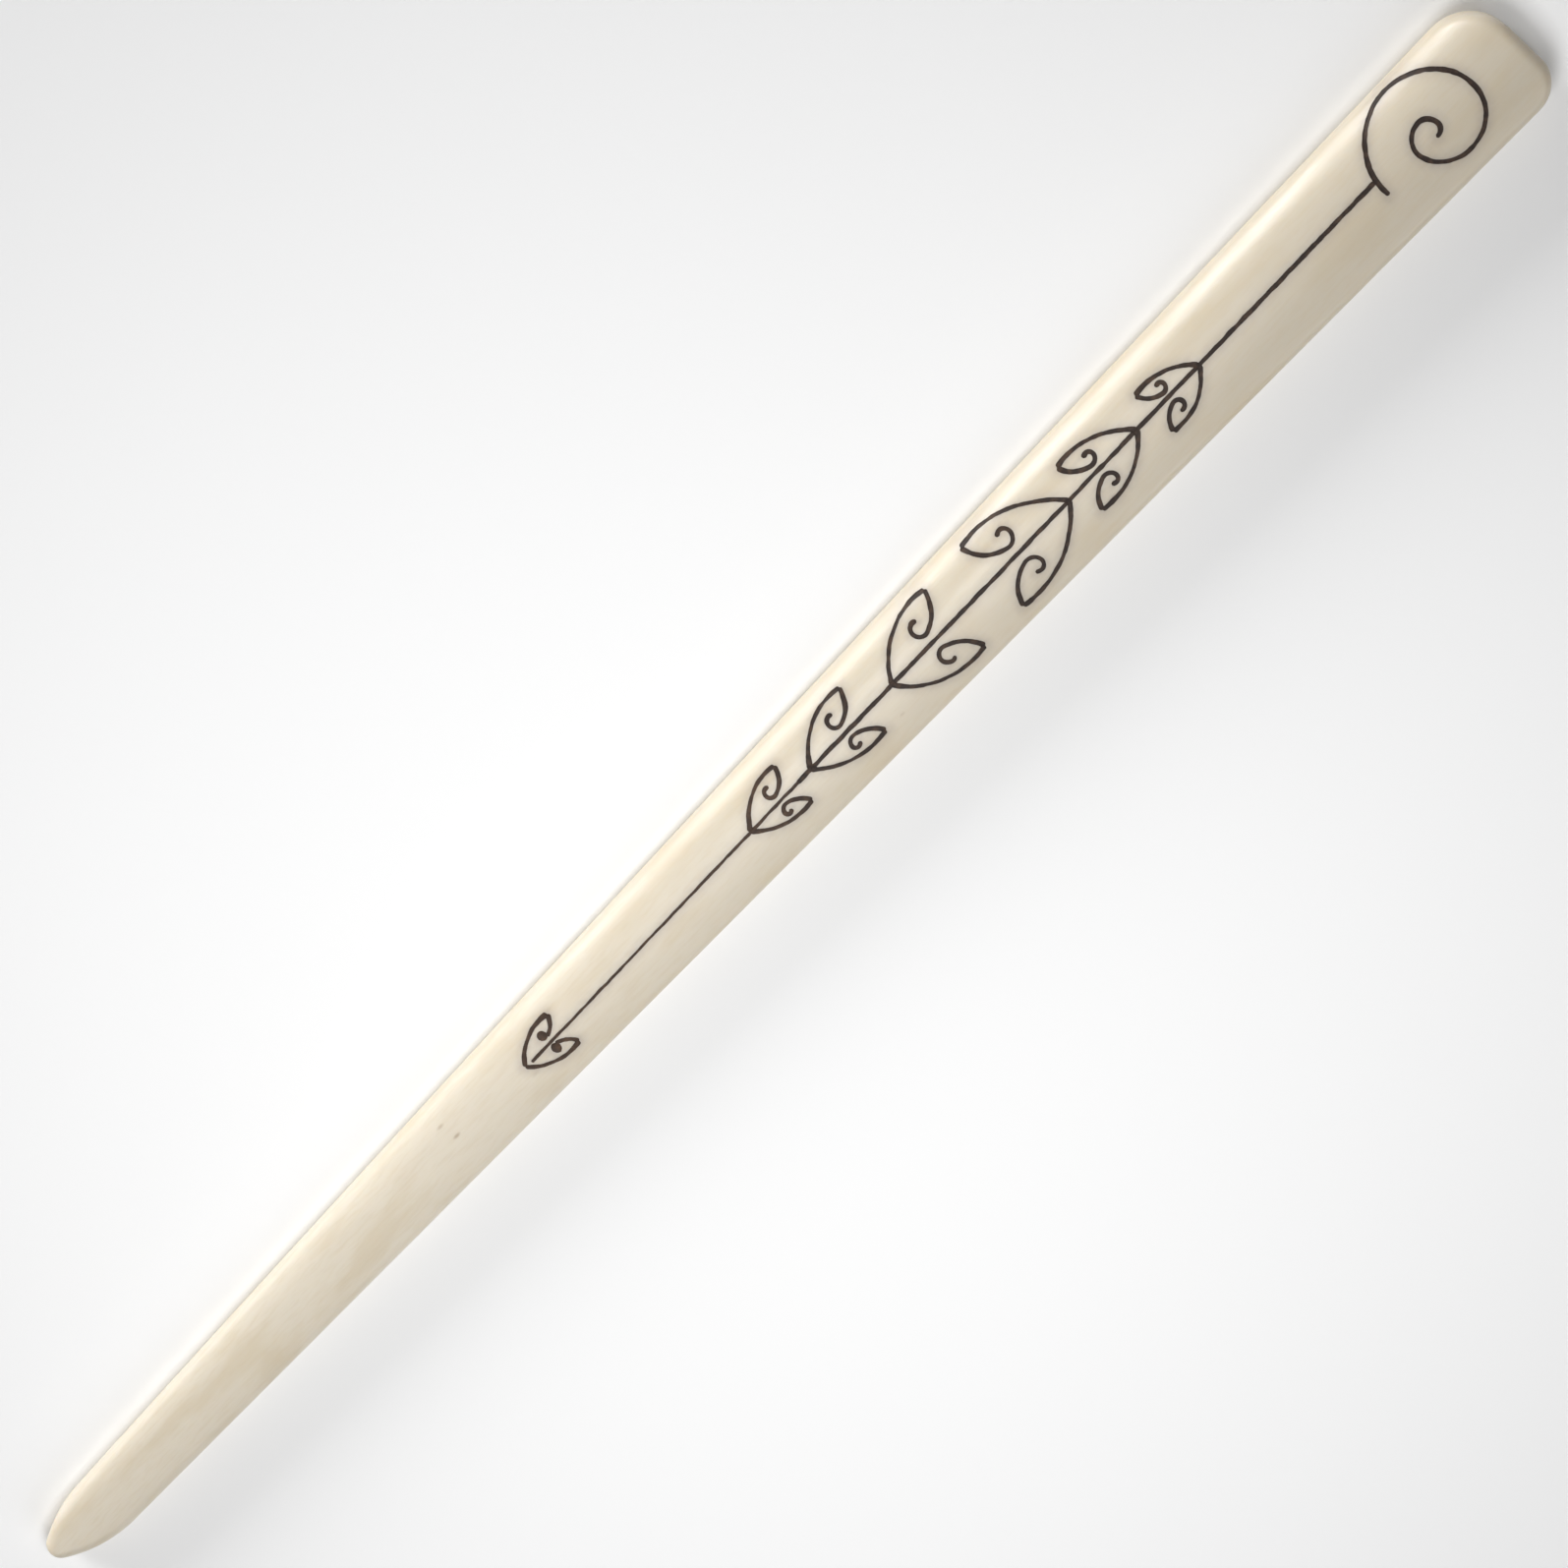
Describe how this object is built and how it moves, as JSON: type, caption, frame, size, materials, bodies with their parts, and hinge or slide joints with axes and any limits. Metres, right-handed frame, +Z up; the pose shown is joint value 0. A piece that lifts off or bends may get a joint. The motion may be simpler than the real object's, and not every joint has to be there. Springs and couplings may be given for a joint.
{
  "type": "bone folder",
  "caption": "Slender tapered bone creasing stick with a square rounded head, blunt tip and an inked engraved fern vine on its crowned face.",
  "frame": {"origin": "centre of the blade's outline in plan, on its flat back", "axes": "+X along the blade from the tip to the head, +Z up out of the engraved face, +Y across the blade"},
  "size_m": [0.1787, 0.0102, 0.0043],
  "materials": {
    "bone": "satin",
    "ink": "satin"
  },
  "bodies": {
    "root": {"bone_body": "bone", "head_spiral_ink": "ink", "stem_ink": "ink", "frond_1_upper_ink": "ink", "frond_1_lower_ink": "ink", "frond_2_upper_ink": "ink", "frond_2_lower_ink": "ink", "frond_3_upper_ink": "ink", "frond_3_lower_ink": "ink", "frond_4_upper_ink": "ink", "frond_4_lower_ink": "ink", "frond_5_upper_ink": "ink", "frond_5_lower_ink": "ink", "frond_6_upper_ink": "ink", "frond_6_lower_ink": "ink", "frond_7_upper_ink": "ink", "frond_7_lower_ink": "ink"}
  },
  "joints": []
}
